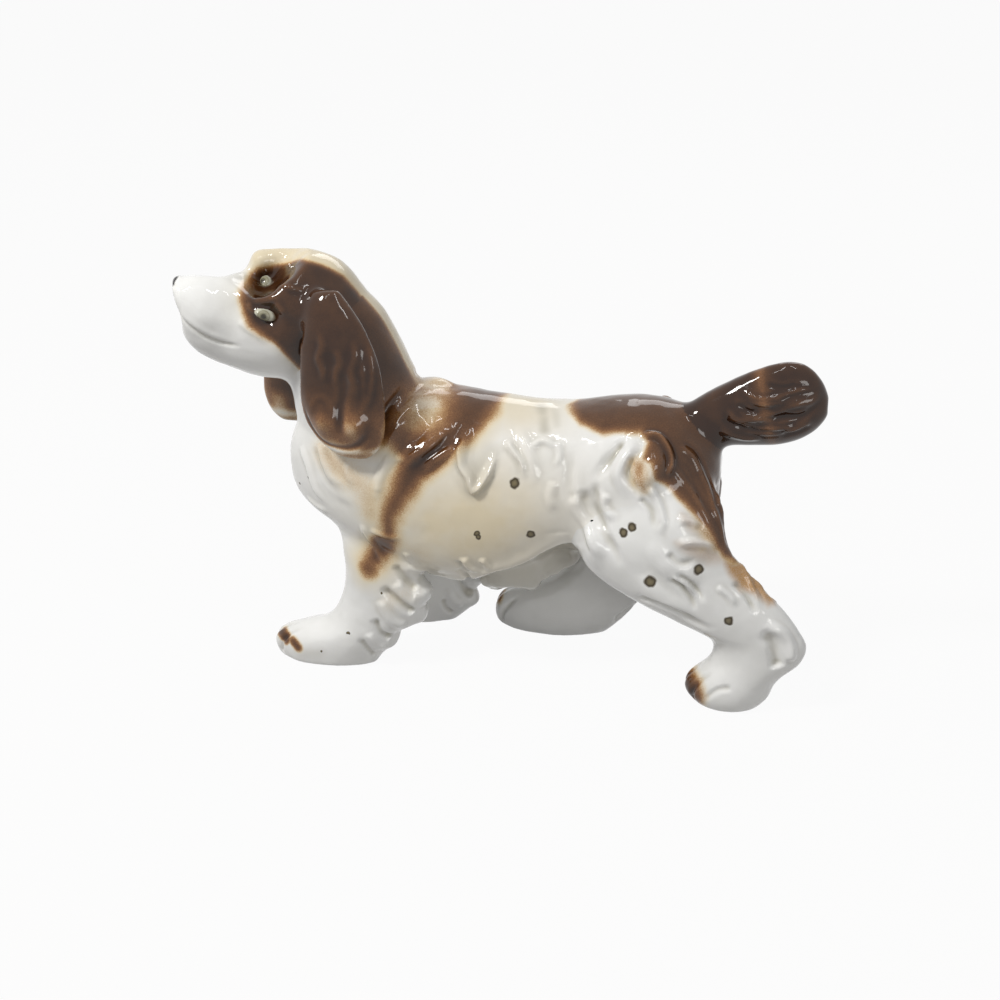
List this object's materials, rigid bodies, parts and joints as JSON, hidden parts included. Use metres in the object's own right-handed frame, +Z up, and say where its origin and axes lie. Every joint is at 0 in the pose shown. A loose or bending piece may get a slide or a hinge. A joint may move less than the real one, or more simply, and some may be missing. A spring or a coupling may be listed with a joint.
{
  "type": "pottery spaniel figure",
  "caption": "Standing long-eared spaniel ornament in glossy slip-cast pottery, striding with its head turned, white with sprayed brown patches and small dark spots.",
  "frame": {"origin": "on the standing plane, under the middle of the figure's overall box", "axes": "+Z up; the dog looks along -X with its tail towards +X; -Y is its own left side, towards which the head is turned"},
  "size_m": [0.2242, 0.0661, 0.1516],
  "materials": {
    "white_glaze": "glossy clear glaze over white earthenware with sprayed brown patches and dark spots",
    "brown_glaze": "glossy clear glaze over sprayed dark brown colour"
  },
  "bodies": {
    "root": {"torso": "white_glaze", "head": "white_glaze", "ear_left": "brown_glaze", "ear_right": "brown_glaze", "foreleg_left": "white_glaze", "foreleg_right": "white_glaze", "hindleg_left": "white_glaze", "hindleg_right": "white_glaze", "tail": "brown_glaze"}
  },
  "joints": []
}
